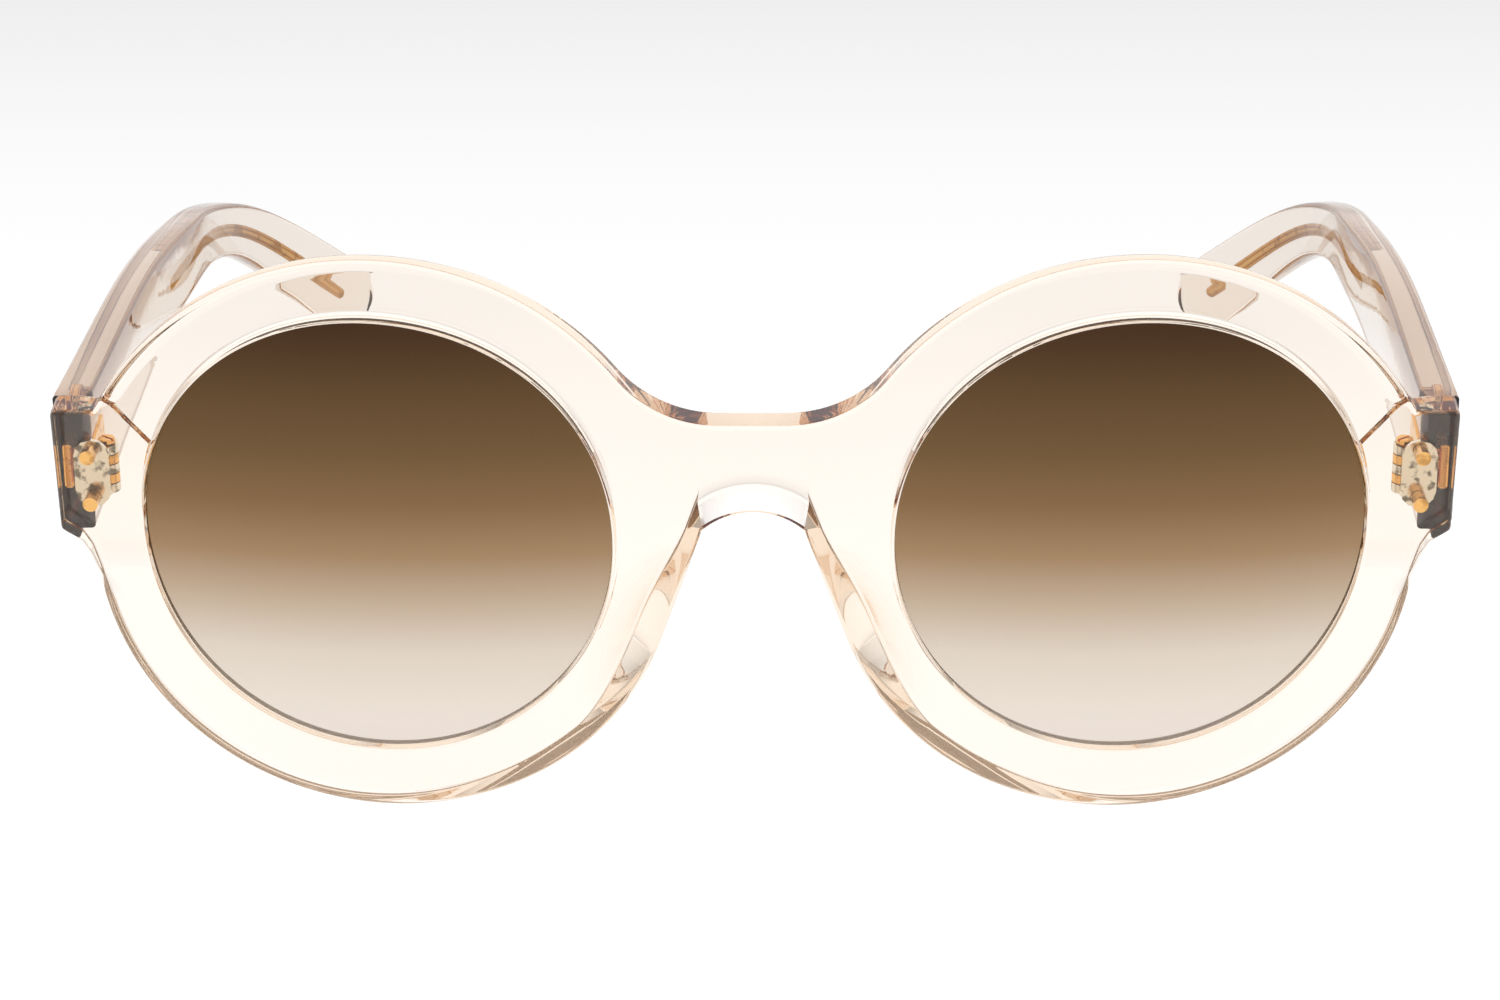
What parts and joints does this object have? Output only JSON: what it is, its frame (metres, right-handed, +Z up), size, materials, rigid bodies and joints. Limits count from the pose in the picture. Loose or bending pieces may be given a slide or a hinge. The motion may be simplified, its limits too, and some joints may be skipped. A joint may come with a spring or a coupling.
{
  "type": "round sunglasses",
  "caption": "Open round sunglasses: clear acetate front, round gradient lenses, riveted barrel hinges and folding temples with core wires.",
  "frame": {"origin": "centre of the bounding box's base, on the surface that the rims and temple tips stand on", "axes": "+X to the wearer's left, +Y from the front back to the temple tips, +Z up"},
  "size_m": [0.147, 0.1378, 0.0624],
  "materials": {
    "acetate": "polished clear champagne acetate",
    "lens": "polished, brown at the top fading to almost clear",
    "nickel": "polished nickel silver",
    "gold": "polished gold tone"
  },
  "bodies": {
    "front": {"front": "acetate", "left_front_hinge": "nickel", "left_front_rivet_lower": "gold", "left_front_rivet_upper": "gold", "left_hinge_screw": "gold", "left_lens": "lens", "right_front_hinge": "nickel", "right_front_rivet_lower": "gold", "right_front_rivet_upper": "gold", "right_hinge_screw": "gold", "right_lens": "lens"},
    "left_temple": {"left_core_wire": "gold", "left_temple": "acetate", "left_temple_hinge": "gold", "left_temple_rivet_front": "gold", "left_temple_rivet_rear": "gold"},
    "right_temple": {"right_core_wire": "gold", "right_temple": "acetate", "right_temple_hinge": "gold", "right_temple_rivet_front": "gold", "right_temple_rivet_rear": "gold"}
  },
  "joints": [
    {"name": "left_temple_fold", "type": "hinge", "parent": "front", "child": "left_temple", "pos_m": [0.06728, -0.06045, 0.0373], "axis": [0, 0, 1], "range_deg": [0, 84]},
    {"name": "right_temple_fold", "type": "hinge", "parent": "front", "child": "right_temple", "pos_m": [-0.06728, -0.06045, 0.0373], "axis": [0, 0, -1], "range_deg": [0, 71]}
  ]
}
